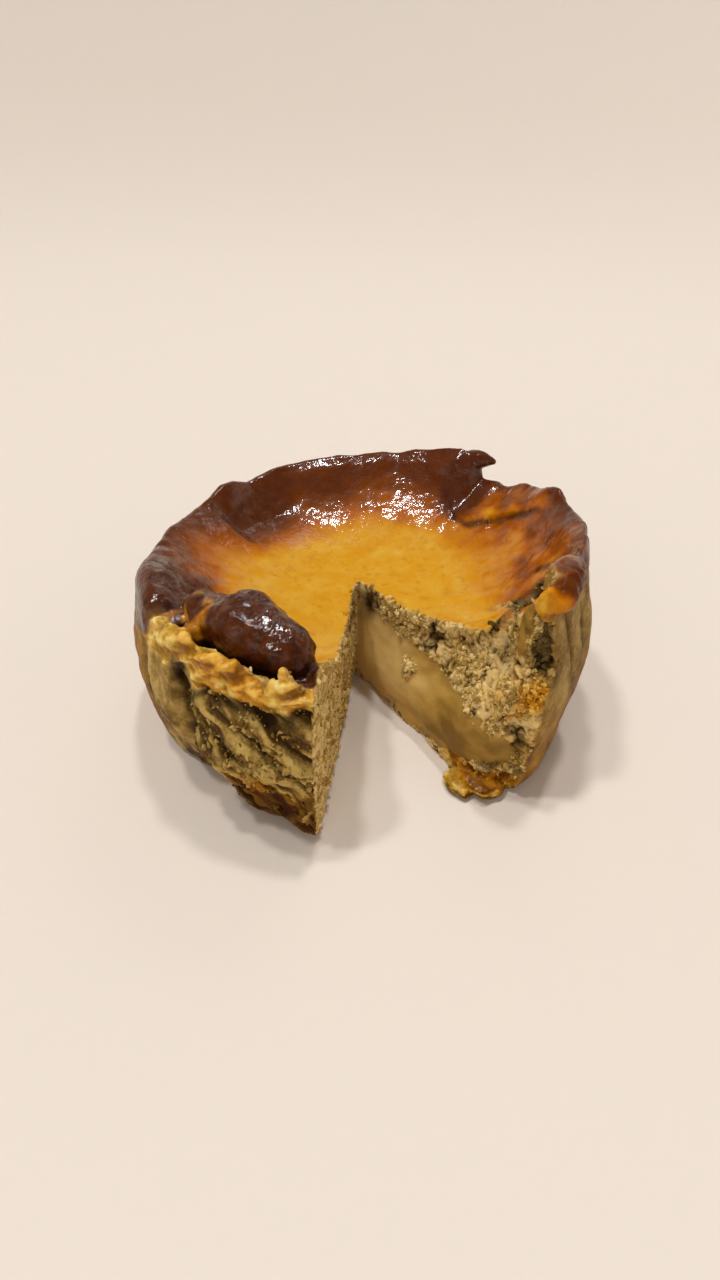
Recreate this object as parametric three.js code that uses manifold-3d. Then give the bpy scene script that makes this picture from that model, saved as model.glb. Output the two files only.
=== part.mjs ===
// A burnt basque cheesecake with one slice missing, as one faceted solid.
// Millimetres, +Z up. A bearing is an angle in degrees round the cake's axis: 0 points to -Y, the
// side the missing slice opens to, 90 to +X, 180 to +Y and 270 to -X.

import * as THREE from 'three';
import * as BufferGeometryUtils from 'three/addons/utils/BufferGeometryUtils.js';
import Module from 'manifold-3d';

// ---- Driving dimensions ----------------------------------------------------------------------

const WALL_RADIUS = 75.8;          // widest part of the wall, about half way up
const CENTRE_HEIGHT = 39.3;        // the sunken middle
const CREST_DROP = 9;              // height over which the crest rounds into the wall
const BOTTOM_ROUND = 4;            // rounding under the wall
const CUT_LEFT = 352;               // bearings of the two cut faces
const CUT_RIGHT = 42;
const SEED = 1907;

// Bearing and value, joined by smooth steps.
const RIM_HEIGHT = [
  [43, 72.5], [76, 73.2], [92, 70.4], [104, 69.6], [118, 66.6], [128, 63.8], [136.8, 61.6],
  [140.4, 69], [147, 70.2], [158, 67.8], [172, 64], [190, 62], [212, 60.8], [224, 58.4],
  [233, 61], [250, 56], [268, 56.8], [288, 59.5], [303, 58.5], [308, 55], [318, 56.5],
  [338, 55.5], [346, 55], [351, 58],
];
const CREST_RADIUS = [
  [43, 67.7], [80, 67], [110, 66], [140, 65.5], [200, 65], [240, 64], [268, 65.4], [298, 67.5],
  [310, 70], [342, 70.5], [351, 66],
];
const DISH_POWER = [
  [43, 5.2], [62, 5], [78, 3.9], [96, 3.5], [180, 3.2], [225, 3.6], [262, 2.7], [300, 3.2], [351, 3.4],
];
const FOOT_RADIUS = [
  [43, 71.4], [66, 71.2], [90, 70.5], [180, 70], [270, 71], [300, 71.4],
  [312, 67], [321, 63.4], [330, 67.6], [344, 70.4], [351, 70],
];

// Wall radius against height, as a share of the rim's height, less the widest radius. The wall
// leans in under the rim, except at the front left, where it stands nearly upright.
const WALL_PROFILE = [
  [0, -4.2], [0.06, -2.8], [0.2, -1.8], [0.35, -0.6], [0.5, 0], [0.6, -0.9], [0.7, -2.4],
  [0.8, -4.6], [0.9, -6.2], [1, -7],
];
const LEAN = [[43, 1], [228, 1.15], [250, 1.5], [276, 1.15], [292, 0.5], [306, 0.2], [351, 0.1]];
const FOOT_TUCK = [[43, 0], [200, 0], [286, 1.4], [330, 0.6], [351, 0]];

// Segments of the solid between two bearings: more of them where the relief is finer.
const SEGMENTS = [
  [-9, 43, 4], [43, 80, 12], [80, 100, 6], [100, 146, 15], [146, 285, 25], [285, 351, 23],
];
const TOP_ROWS = 12;
const CREST_ROWS = 4;
const WALL_ROWS = 13;
const FACE_CELL = 3.2;             // grid of the cut faces

// The right cut face, measured across the face towards the missing slice: it leans out where the
// soft centre has slumped, and stands back in the crumb under the skin.
const RIGHT_TOP = [
  [-14, -3], [18, -3.3], [28, -5.5], [37, -8], [48, -7.4], [58, -4.6], [68, -1.8], [84, -1],
];
const RIGHT_FOOT = [
  [-14, 0], [4, 0.6], [17, 2.4], [30, 3.8], [46, 5.6], [55, 7.4], [65, 6], [70, 0], [84, -1],
];
const LEFT_LINE = [[-14, -3], [0, -2.3], [20, -1.4], [40, -0.9], [84, 0]];

// ---- Small functions -------------------------------------------------------------------------

const radians = (degrees) => degrees * Math.PI / 180;
const clamp = (x, low, high) => Math.min(high, Math.max(low, x));
const mix = (a, b, t) => a + (b - a) * t;

function step(from, to, x) {
  const t = clamp((x - from) / (to - from), 0, 1);
  return t * t * (3 - 2 * t);
}

// 1 at the centre, 0 from one width away.
function bump(x, centre, width) {
  const t = Math.abs(x - centre) / width;
  return t >= 1 ? 0 : (1 - t * t) ** 2;
}

function along(table, x) {
  const last = table.length - 1;
  if (x <= table[0][0]) return table[0][1];
  if (x >= table[last][0]) return table[last][1];
  let i = 0;
  while (table[i + 1][0] < x) i += 1;
  return mix(table[i][1], table[i + 1][1], step(table[i][0], table[i + 1][0], x));
}

// Inside the missing slice the bearing runs on from one cut face to the other.
function round(table, bearing) {
  const b = ((bearing % 360) + 360) % 360;
  const low = table[0][0];
  const high = table[table.length - 1][0];
  if (b >= low && b <= high) return along(table, b);
  const t = (b > high ? b - high : b + 360 - high) / (low + 360 - high);
  return mix(table[table.length - 1][1], table[0][1], clamp(t, 0, 1));
}

function softMin(a, b, width) {
  const h = Math.max(width - Math.abs(a - b), 0) / width;
  return Math.min(a, b) - h * h * width / 4;
}

function lattice(i, j, k) {
  let h = Math.imul(i, 374761393) + Math.imul(j, 668265263) + Math.imul(k, 974634777) + SEED;
  h = Math.imul(h ^ (h >>> 13), 1274126177);
  h = Math.imul(h ^ (h >>> 15), 2246822519);
  return ((h ^ (h >>> 16)) >>> 0) / 2147483648 - 1;
}

// Smooth noise between -1 and 1 over cells of the given size.
function noise(x, y, z, size) {
  const i = Math.floor(x / size);
  const j = Math.floor(y / size);
  const k = Math.floor(z / size);
  const u = step(0, 1, x / size - i);
  const v = step(0, 1, y / size - j);
  const w = step(0, 1, z / size - k);
  const edge = (b, c) => mix(lattice(i, b, c), lattice(i + 1, b, c), u);
  return mix(mix(edge(j, k), edge(j + 1, k), v), mix(edge(j, k + 1), edge(j + 1, k + 1), v), w);
}

function crags(x, y, z, size) {
  return noise(x, y, z, size) * 0.6 + noise(y + 31, z - 17, x + 5, size / 2) * 0.4;
}

function place(bearing, radius, height) {
  const a = radians(bearing);
  return new THREE.Vector3(radius * Math.sin(a), -radius * Math.cos(a), height);
}

// ---- Form of the cake ------------------------------------------------------------------------

// The overlapping fold on the right at the back: above 0 behind its crack, below 0 in front.
const FOLD_CRACK = [
  [46, 138], [48.6, 133], [51.7, 124], [55, 117], [57.3, 112], [59.6, 107], [61.6, 103], [64, 99],
];
const FOLD_END = [[47, 137], [52, 141], [55, 143], [60, 139.5], [66, 138]];

function foldDistance(bearing, radius) {
  return radians(bearing - along(FOLD_CRACK, radius)) * radius;
}

function topHeight(bearing, radius) {
  const b = ((bearing % 360) + 360) % 360;
  const even = (round(RIM_HEIGHT, b - 8) + round(RIM_HEIGHT, b) + round(RIM_HEIGHT, b + 8)) / 3;
  const rim = mix(even, round(RIM_HEIGHT, b), step(54, 62, radius));
  const crest = round(CREST_RADIUS, b);
  const power = round(DISH_POWER, b);
  const p = place(b, radius, 0);
  let z = CENTRE_HEIGHT + (rim + 2 - CENTRE_HEIGHT) * (radius / crest) ** power;

  // Front left: a shelf under the burnt roll, a crevice, then the torn outer edge.
  const lobeEnd = 304 + (73 - radius) * 0.6;
  const torn = step(lobeEnd, lobeEnd + 5, b) * (1 - step(346, 351, b));
  const shelf = mix(46, 49.5, step(50, 60, radius)) - 2 * bump(radius, 66, 3.5);
  const lip = shelf + (rim - shelf) * step(66.5, 70.5, radius);
  z = mix(z, Math.min(z + 3, lip), torn * step(46, 54, radius));
  z = softMin(z, rim, 3.5);

  // Left: the dark lobe ends in a lip over the torn edge.
  z += 2.6 * step(284, 296, b) * (1 - step(lobeEnd - 1, lobeEnd + 2, b)) * step(47, 57, radius);
  // Back left: a hollow, with a sharp side towards the left.
  const hollow = step(200, 226, b) * (1 - step(241, 246, b));
  z -= 4.6 * hollow * bump(radius, 54, 13);
  z += 1.4 * bump(b, 249, 6) * bump(radius, 52, 12);
  // Back: two shallow creases over the crest, and the swell between them.
  z -= 1.6 * bump(b, 165.5, 4) * bump(radius, 66, 13);
  z += 1.2 * bump(b, 176, 9) * bump(radius, 61, 9);
  z += 1.6 * bump(b, 147, 7) * bump(radius, 60, 10);
  // Right at the back: the fold stands over its crack.
  const fold = foldDistance(b, radius);
  const foldEnd = along(FOLD_END, radius);
  const foldZone = step(48, 51.5, radius) * (1 - step(foldEnd - 3, foldEnd + 2, b)) * step(98, 103, b);
  z += foldZone * 2.7 * step(-0.6, 1.4, fold) * (1 - step(5, 17, fold));
  z -= 1.4 * bump(fold, -1.6, 2.6) * bump(b, 118, 17) * bump(radius, 56, 9);
  z -= 2.4 * bump(b, 126.5, 5) * bump(radius, 63.5, 5);
  // Right: small swells in the slope, and the gash behind the nose of the rim.
  z += 1.2 * bump(b, 98, 8) * bump(radius, 56, 8);
  const gash = 58.5 - 3.5 * step(47, 72, 119 - b);
  z -= 3.5 * bump(radius, gash, 5) * bump(b, 54, 21);
  // The skin itself is slightly uneven.
  z += 0.5 * noise(p.x, p.y, 3, 15) * step(8, 40, radius);
  z += 0.55 * noise(p.x, p.y, 40, 7) * step(48, 62, radius);
  return z;
}

// Folds that the baking paper has pressed into the wall: each one shallow, narrow and crooked.
const PLEATS = [
  [64, 0.8, 4], [79, 1.2, 5], [97, 1.3, 4], [112, 1.0, 6], [127, 1.6, 4], [137, 2.2, 4],
  [152, 1.0, 5], [166, 1.5, 4], [183, 1.2, 6], [199, 1.6, 4], [214, 1.1, 5], [226, 2.4, 4],
  [241, 1.3, 5], [256, 1.0, 5], [268, 1.5, 4], [282, 1.2, 4],
];

function wallRadius(bearing, height) {
  const b = ((bearing % 360) + 360) % 360;
  const rim = round(RIM_HEIGHT, b);
  const share = clamp(height / rim, 0, 1);
  const p = place(b, 70, height);
  const foot = round(FOOT_RADIUS, b) - (WALL_RADIUS + WALL_PROFILE[0][1]);
  const lean = share > 0.5 ? round(LEAN, b) : 1;
  let r = WALL_RADIUS + lean * along(WALL_PROFILE, share);
  r -= round(FOOT_TUCK, b) * (1 - step(6, 26, height));
  r += foot * (1 - step(0, 30, height));
  for (const [at, depth, width] of PLEATS) {
    const sway = 2.5 * noise(at, height, 7, 22);
    r -= depth * bump(b + sway, at, width) * step(2, 16, height);
    r += 0.4 * depth * bump(b + sway, at + width * 1.2, width);
  }
  r += 0.55 * crags(p.x, p.y, p.z, 11);

  // Front left: the wall is torn into steps that run down to the right.
  const torn = step(288, 300, b) * (b > 200 ? 1 : 0);
  const run = height + (b - 320) * 0.95;
  r -= torn * 2.2 * bump(b, 302.5, 4.5) * bump(height, 34, 26);
  r -= 5.6 * bump(b, 320.5, 4.8) * bump(height, 33, 22);
  r -= 2.4 * bump(b, 326, 6) * bump(height, 6, 16);
  r += torn * 2 * bump(run, 47, 4.5) * step(322, 327, b);
  r -= torn * 2.2 * bump(run, 40.5, 4.5) * step(324, 329, b);
  r += torn * 2.2 * bump(run, 33.5, 5) * step(325, 331, b);
  r -= torn * 1.8 * bump(run, 26, 4.5) * step(330, 336, b);
  r -= torn * 1.6 * step(43, 47, height) * (1 - step(50, 53, height)) * step(320, 326, b);
  r += torn * mix(0.6, 1.2, step(14, 26, height)) * crags(p.x, p.y, p.z + 80, 5.5);
  return r;
}

function section(bearing, row) {
  const crest = round(CREST_RADIUS, bearing);
  if (row <= TOP_ROWS) {
    const share = row / TOP_ROWS;
    const radius = crest * (share < 0.5 ? share * 1.25 : 0.625 + (share - 0.5) * 0.75);
    return [radius, topHeight(bearing, radius)];
  }
  const top = topHeight(bearing, crest);
  const shoulder = top - CREST_DROP;
  const reach = wallRadius(bearing, shoulder) - crest;
  if (row <= TOP_ROWS + CREST_ROWS) {
    const turn = (row - TOP_ROWS) / CREST_ROWS * Math.PI / 2;
    return [crest + reach * Math.sin(turn), shoulder + CREST_DROP * Math.cos(turn)];
  }
  if (row <= TOP_ROWS + CREST_ROWS + WALL_ROWS) {
    const share = (row - TOP_ROWS - CREST_ROWS) / WALL_ROWS;
    const height = mix(shoulder, BOTTOM_ROUND, share);
    return [wallRadius(bearing, height), height];
  }
  const foot = wallRadius(bearing, BOTTOM_ROUND);
  const under = row - TOP_ROWS - CREST_ROWS - WALL_ROWS;
  return [[foot - 0.7, 1.3], [foot - 3, 0], [foot * 0.5, 0], [0, 0]][under - 1];
}

// ---- Solids ----------------------------------------------------------------------------------

const wasm = await Module();
wasm.setup();

function solid(geometry) {
  geometry.deleteAttribute('normal');
  geometry.deleteAttribute('uv');
  const merged = BufferGeometryUtils.mergeVertices(geometry, 1e-4);
  const position = merged.getAttribute('position');
  const index = merged.getIndex().array;
  const triangles = [];
  let volume = 0;
  const [a, b, c] = [new THREE.Vector3(), new THREE.Vector3(), new THREE.Vector3()];
  for (let i = 0; i < index.length; i += 3) {
    const [p, q, r] = [index[i], index[i + 1], index[i + 2]];
    if (p === q || q === r || r === p) continue;
    a.fromBufferAttribute(position, p);
    b.fromBufferAttribute(position, q);
    c.fromBufferAttribute(position, r);
    volume += a.dot(b.cross(c));
    triangles.push(p, q, r);
  }
  if (volume < 0) {
    for (let i = 0; i < triangles.length; i += 3) {
      [triangles[i], triangles[i + 1]] = [triangles[i + 1], triangles[i]];
    }
  }
  return new wasm.Manifold(new wasm.Mesh({
    numProp: 3,
    vertProperties: new Float32Array(position.array),
    triVerts: new Uint32Array(triangles),
  }));
}

function cakeBody() {
  const bearings = [];
  for (const [from, to, count] of SEGMENTS) {
    for (let i = 0; i < count; i += 1) bearings.push(mix(from, to, i / count));
  }
  const rows = TOP_ROWS + CREST_ROWS + WALL_ROWS + 4;
  const profile = [];
  for (let j = 0; j <= rows; j += 1) {
    profile.push(new THREE.Vector2(Math.sin(Math.PI * j / rows), Math.cos(Math.PI * j / rows)));
  }
  const lathe = new THREE.LatheGeometry(profile, bearings.length);
  const position = lathe.getAttribute('position');
  for (let i = 0; i <= bearings.length; i += 1) {
    const bearing = bearings[i % bearings.length];
    for (let j = 0; j <= rows; j += 1) {
      const [radius, height] = section(bearing, j);
      const middle = j === 0 || j === rows;
      const p = middle ? new THREE.Vector3(0, 0, j ? 0 : CENTRE_HEIGHT) : place(bearing, radius, height);
      position.setXYZ(i * (rows + 1) + j, p.x, p.y, p.z);
    }
  }
  return solid(lathe);
}

// A block whose near side is a cut face: x runs out along the face and y across the missing slice.
function faceBlock(bearing, side, offset) {
  const [inner, outer, low, high, depth] = [-14, 84, -4, 84, 130];
  const columns = Math.round((outer - inner) / FACE_CELL);
  const rows = Math.round((high - low) / FACE_CELL);
  const block = new THREE.BoxGeometry(outer - inner, depth, high - low, columns, 1, rows);
  block.translate((inner + outer) / 2, depth / 2, (low + high) / 2);
  const position = block.getAttribute('position');
  const a = radians(bearing);
  const out = new THREE.Vector3(Math.sin(a), -Math.cos(a), 0);
  const across = new THREE.Vector3(Math.cos(a), Math.sin(a), 0).multiplyScalar(side);
  for (let i = 0; i < position.count; i += 1) {
    const [x, y, z] = [position.getX(i), position.getY(i), position.getZ(i)];
    const p = out.clone().multiplyScalar(x);
    p.addScaledVector(across, y < 1 ? offset(x, z) : y);
    position.setXYZ(i, p.x, p.y, z);
  }
  return solid(block);
}

// Where the right face is smooth: the creamy middle, below the crumb and above the foot.
function creamy(s, z) {
  const upper = along([[0, 36], [22, 34], [40, 30], [58, 28], [66, 22]], s);
  const lower = along([[0, 0], [24, 2], [34, 9], [66, 11]], s);
  return step(-2, 4, upper - z) * step(-1, 3, z - lower) * (1 - step(62, 69, s));
}

function rightFace(s, z) {
  const top = along([[0, 39], [30, 41], [48, 47], [58, 54], [68, 74], [84, 76]], s);
  const drop = step(0.12, 0.72, 1 - clamp(z / top, 0, 1));
  const smooth = creamy(s, z);
  let d = mix(along(RIGHT_TOP, s), along(RIGHT_FOOT, s), drop);
  d += 1.5 * bump(z, 13, 9) * bump(s, 14, 16);
  d -= 1.6 * bump(z, 2, 7) * (1 - step(40, 52, s));
  d += 1.3 * bump(z - 0.45 * (s - 46), 22, 4) * bump(s, 47, 13);
  d += 1.8 * bump(s, 29, 5) * bump(z, 26, 5);
  d += (1 - smooth) * 1.7 * crags(s, z, 11, 5.5) * step(-4, 8, s);
  d += smooth * 0.5 * noise(s, z, 3, 13);
  // The deep pits beside the skin, and the upright strip next to them.
  d -= 4.6 * bump(s, 71.5, 4.6) * bump(z, 60, 8);
  d -= 4.4 * bump(s, 72, 4.6) * bump(z, 49.5, 5);
  d += 1.6 * bump(s, 66.5, 3) * bump(z, 58, 12);
  d += 2.2 * bump(s, 72, 6) * bump(z, 39, 7);
  return d;
}

function leftFace(s, z) {
  let d = along(LEFT_LINE, s);
  d += 0.7 * crags(s * 0.6, z, 47, 4.6);
  d -= 3.2 * bump(s, 6, 10) * bump(z, 32, 7);
  d += 0.9 * bump(s, 69, 5) * bump(z, 30, 12);
  d += 1.1 * bump(s, 40, 30) * bump(z - 0.06 * s, 40, 3);
  return d;
}

// A roll bent along a curve. The radii are its half thicknesses across and up the curve.
function bentRoll(points, thickness, rings, sides, rough) {
  const curve = new THREE.CatmullRomCurve3(points);
  const profile = [];
  for (let j = 0; j <= rings; j += 1) {
    profile.push(new THREE.Vector2(Math.sin(Math.PI * j / rings), Math.cos(Math.PI * j / rings)));
  }
  const roll = new THREE.LatheGeometry(profile, sides);
  const position = roll.getAttribute('position');
  const frames = [];
  for (let j = 0; j <= rings; j += 1) {
    const centre = curve.getPointAt(j / rings);
    const outward = new THREE.Vector3(centre.x, centre.y, 0).normalize();
    const up = new THREE.Vector3().crossVectors(outward, curve.getTangentAt(j / rings)).normalize();
    if (j === 0 ? up.z < 0 : up.dot(frames[j - 1].up) < 0) up.negate();
    frames.push({ centre, outward, up });
  }
  for (let i = 0; i <= sides; i += 1) {
    const turn = (i % sides) / sides * Math.PI * 2;
    for (let j = 0; j <= rings; j += 1) {
      const { centre, outward, up } = frames[j];
      const [across, tall] = thickness(j / rings);
      const swell = j === 0 || j === rings ? 0 : 1;
      const p = centre.clone();
      p.addScaledVector(outward, swell * across * Math.cos(turn));
      p.addScaledVector(up, swell * tall * Math.sin(turn));
      const grain = swell * rough * crags(p.x, p.y, p.z, 6);
      p.addScaledVector(outward, grain * Math.cos(turn));
      p.addScaledVector(up, grain * Math.sin(turn));
      position.setXYZ(i * (rings + 1) + j, p.x, p.y, p.z);
    }
  }
  return solid(roll);
}

// A rounded lump: half sizes outward, round the cake and up.
function lump(at, sizes, detail, rough, tilt = 0) {
  const [bearing, radius, height] = at;
  const ball = new THREE.IcosahedronGeometry(1, detail);
  const position = ball.getAttribute('position');
  const centre = place(bearing, radius, height);
  const frame = new THREE.Matrix4().makeRotationZ(radians(bearing - 90));
  frame.multiply(new THREE.Matrix4().makeRotationY(radians(tilt)));
  const p = new THREE.Vector3();
  for (let i = 0; i < position.count; i += 1) {
    p.fromBufferAttribute(position, i);
    const grain = 1 + rough * crags(p.x * 9 + bearing, p.y * 9, p.z * 9 + radius, 6);
    p.set(p.x * sizes[0] * grain, p.y * sizes[1] * grain, p.z * sizes[2] * grain);
    p.applyMatrix4(frame).add(centre);
    position.setXYZ(i, p.x, p.y, Math.max(p.z, 0));
  }
  return solid(ball);
}

const swellTo = (t, ends) => Math.min(1, Math.sin(Math.PI * clamp(t, 0.001, 0.999)) ** ends);

// The burnt roll over the front left, thickest towards the cut.
const burntRoll = bentRoll(
  [
    place(301, 57.5, 52), place(310, 57.6, 54.6), place(320, 57, 55.6), place(331, 57, 55.8),
    place(341, 58.2, 55.2), place(350, 60.6, 53.6),
  ],
  (t) => {
    const thick = mix(6.4, 9.8, step(0.05, 0.55, t)) * swellTo(t, 0.4) + 0.5 * Math.sin(t * 15);
    return [thick * 1.05, thick * 0.95];
  },
  20, 12, 0.7,
);

// The torn, crinkled outer edge in front of the roll.
const tornEdge = bentRoll(
  [
    place(301, 71, 50), place(309, 71.5, 52.5), place(317, 71.7, 53.5), place(327, 71.6, 55.2),
    place(336, 71.8, 53.6), place(342.3, 71.4, 51.6),
  ],
  (t) => {
    const thick = swellTo(t, 0.35);
    return [thick * (2.6 + 0.7 * Math.sin(t * 19)), thick * (5 + 1.3 * Math.sin(t * 10 - 2))];
  },
  24, 9, 1.5,
);
const tornCorner = bentRoll(
  [place(343, 70.8, 51), place(347, 71.2, 52), place(351.8, 70, 52.4)],
  (t) => [2.4 * swellTo(t, 0.4), 3.8 * swellTo(t, 0.4)],
  9, 8, 1.2,
);

// A pointed scrap of crust standing at the end of the torn edge.
const shard = bentRoll(
  [place(344.6, 70.5, 60.2), place(345.6, 70.8, 57), place(347, 71.2, 53), place(348, 71, 49)],
  (t) => [1.1 + 0.8 * t, 0.4 + 5 * t * (1 - 0.35 * t)],
  8, 8, 0.3,
);

// The nose of the rim at the right corner: a blunt lobe that hangs over the gash and the cut.
const nose = bentRoll(
  [place(66, 66, 69.6), place(56, 67, 70), place(49.5, 68.8, 68.4), place(45.4, 70.6, 64.6)],
  (t) => [swellTo(t, 0.34) * mix(5, 5.6, t), swellTo(t, 0.34) * mix(3.6, 5, t)],
  11, 9, 0.5,
);

// Openings in the skin. The gash runs from the inside of the nose down to the cut face; the crack
// lies under the fold at the back right; the slit is torn in the slope of the right rim.
const gashOpening = bentRoll(
  [
    place(62, 62, 65.5), place(66, 56.8, 58), place(64, 53.6, 52.5), place(58, 52.2, 49.5),
    place(50, 53, 48.5), place(43, 54.5, 48),
  ],
  (t) => [mix(1.7, 3.6, step(0, 0.5, t)), mix(2.8, 5.4, step(0, 0.5, t))],
  12, 8, 0.5,
);
const crack = bentRoll(
  [
    place(145, 53.6, 57), place(141.4, 52, 54.8), place(136, 48.8, 50.6), place(129.4, 49, 50),
    place(124.1, 51.7, 51.9), place(116.9, 55, 55.4), place(111.8, 57.3, 58.8), place(104, 61, 64),
  ],
  (t) => [0.7 + 0.5 * bump(t, 0.12, 0.1) + 0.7 * bump(t, 0.66, 0.1), 2.3 * swellTo(t, 0.5)],
  15, 6, 0.35,
);
const slit = bentRoll(
  [place(76.2, 55.6, 57.8), place(74, 58.2, 60.6), place(72.4, 60, 62.6), place(69, 62.8, 65.8)],
  (t) => [1.3 * swellTo(t, 0.6), 2.4 * swellTo(t, 0.6)],
  9, 6, 0.9,
);

// The deep groove in the wall, left of the torn steps.
const groove = bentRoll(
  [
    place(319.4, 73, 49), place(320.3, 71.5, 41), place(320.8, 71, 34), place(321.5, 70.5, 27),
    place(320.6, 69, 19), place(318.8, 67.5, 10),
  ],
  (t) => [5.4 * swellTo(t, 0.5), mix(1.8, 3, bump(t, 0.35, 0.5))],
  12, 8, 0.6,
);

// Pieces that reach past the cut face, so they are joined again after the cut.
const proud = [
  nose,
  // The crust flake at the foot of the right face: torn crumb under a strip of crust.
  lump([31.6, 60.4, 2], [6, 3.8, 2.1], 2, 0.35, 4),
  lump([34.8, 62.6, 4.1], [8, 3.4, 1.7], 2, 0.3, -6),
  lump([38.4, 66, 2.7], [5.4, 5.6, 3], 2, 0.3, 0),
];
const additions = [
  burntRoll, tornEdge, tornCorner, shard,
  // Orange flaps between the dark lobe and the roll.
  lump([308.5, 64.5, 52.5], [5.5, 4.5, 3], 2, 0.25, -14),
  lump([316.5, 65, 52.6], [3.6, 4.4, 3.4], 2, 0.25, 10),
  // Pale torn skin under the nose.
  lump([51.5, 61.5, 55], [4.2, 5.5, 6], 2, 0.2, 24),
  // The end of the back rim: a blunt point over the notch.
  lump([140.6, 67.5, 67.4], [3.6, 6, 3.2], 2, 0.12, 0),
  lump([137.4, 69, 67.4], [2, 4, 1.7], 1, 0.12, 0),
  // Torn edge on the outside of the fold.
  lump([113.5, 72.6, 61.8], [1.9, 9, 4.2], 2, 0.3, 8),
];
const removals = [
  gashOpening, crack, slit, groove,
  lump([341.6, 72.5, 55.5], [4.5, 0.9, 5], 1, 0.2, 0),
];

let cake = cakeBody();
for (const piece of [...additions, nose]) cake = cake.add(piece);
for (const piece of removals) cake = cake.subtract(piece);
const missing = faceBlock(CUT_RIGHT, -1, rightFace).intersect(faceBlock(CUT_LEFT, 1, leftFace));
cake = cake.subtract(missing);
for (const piece of proud) cake = cake.add(piece);
// Loose scraps are dropped and pockets sealed by the joining are filled.
cake = cake.decompose().sort((a, b) => b.volume() - a.volume())[0];

// ---- The model -------------------------------------------------------------------------------

const cut = cake.getMesh();
const geometry = new THREE.BufferGeometry();
geometry.setAttribute('position', new THREE.BufferAttribute(new Float32Array(cut.vertProperties), 3));
geometry.setIndex(new THREE.BufferAttribute(new Uint32Array(cut.triVerts), 1));
geometry.computeBoundingBox();
const box = geometry.boundingBox;
geometry.translate(-(box.min.x + box.max.x) / 2, -(box.min.y + box.max.y) / 2, -box.min.z);
geometry.computeVertexNormals();

const crust = new THREE.MeshStandardMaterial({ color: 0xa8641c, roughness: 0.45, metalness: 0 });
const cheesecake = new THREE.Mesh(geometry, crust);
cheesecake.name = 'cheesecake';

const model = new THREE.Group();
model.add(cheesecake);

export default model;
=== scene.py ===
"""A burnt basque cheesecake with one slice missing, dressed over its CAD solid.

Run as a script. Blender's units are metres; the sizes in the tables and masks are millimetres.
A bearing is an angle round the cake's axis in degrees: 0 points to -Y, where the slice is missing,
90 to +X, 180 to +Y and 270 to -X. Left and right are as the camera sees them.
"""

import math

import bpy
import numpy as np
from bpy.props import FloatProperty, FloatVectorProperty, IntProperty, PointerProperty
from bpy.types import Node, NodeSocket, Operator, Panel, PropertyGroup
from mathutils import Matrix, Vector


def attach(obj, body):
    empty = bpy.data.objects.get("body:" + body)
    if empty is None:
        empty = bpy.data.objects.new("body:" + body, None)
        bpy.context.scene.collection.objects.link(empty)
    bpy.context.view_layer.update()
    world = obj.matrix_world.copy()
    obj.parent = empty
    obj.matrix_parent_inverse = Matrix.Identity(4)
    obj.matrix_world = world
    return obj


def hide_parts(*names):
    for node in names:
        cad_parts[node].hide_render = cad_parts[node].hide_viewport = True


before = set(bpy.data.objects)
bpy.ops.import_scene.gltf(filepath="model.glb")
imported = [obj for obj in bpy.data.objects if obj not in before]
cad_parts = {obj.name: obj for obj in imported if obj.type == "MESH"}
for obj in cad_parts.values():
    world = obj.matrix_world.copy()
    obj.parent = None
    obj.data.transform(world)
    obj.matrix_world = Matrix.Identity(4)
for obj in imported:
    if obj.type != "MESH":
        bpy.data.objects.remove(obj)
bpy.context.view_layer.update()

bl_info = {
    "name": "Basque Cheesecake",
    "version": (1, 0, 0),
    "blender": (4, 5, 0),
    "location": "3D View > Sidebar > Cheesecake",
    "description": "Builds a burnt basque cheesecake with one slice missing",
    "category": "Add Mesh",
}

MM = 0.001
SEED = 1907
NODE = "cheesecake"

# Bearings of the two cut faces.
CUT_LEFT = 352.0
CUT_RIGHT = 42.0

# Height of the rim round the cake, as in the solid.
RIM = [
    (0, 62), (43, 72.5), (76, 73.2), (92, 70.4), (104, 69.6), (118, 66.6), (128, 63.8),
    (136.8, 61.6), (140.4, 69), (147, 70.2), (158, 67.8), (172, 64), (190, 62), (212, 60.8),
    (224, 58.4), (233, 61), (250, 56), (268, 56.8), (288, 59.5), (303, 58.5), (308, 55),
    (318, 56.5), (338, 55.5), (351, 58), (360, 60),
]
# Radius where the golden top starts to turn brown, and where it is fully brown.
BROWN_FROM = [
    (0, 50), (45, 47), (80, 36), (100, 34), (120, 36), (140, 38), (160, 36), (180, 36), (205, 34),
    (225, 32), (245, 35), (275, 36), (288, 38), (300, 42), (320, 48), (351, 50), (360, 50),
]
BROWN_TO = [
    (0, 62), (45, 74), (60, 72), (80, 70), (100, 70), (120, 68), (132, 64), (140, 57), (160, 57),
    (190, 56), (210, 53), (228, 49), (243, 50), (249, 60), (262, 65), (275, 65), (288, 62),
    (305, 58), (320, 60), (351, 62), (360, 62),
]
# Height of the skin over the right cut face, against the radius.
SKIN_OVER_CUT = [(0, 39), (30, 40), (40, 43), (50, 48), (58, 55), (66, 62), (76, 66)]


def at(bearing, radius):
    a = math.radians(bearing)
    return radius * math.sin(a), -radius * math.cos(a)


def place(bearing, radius, height):
    return (*at(bearing, radius), height)


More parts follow.
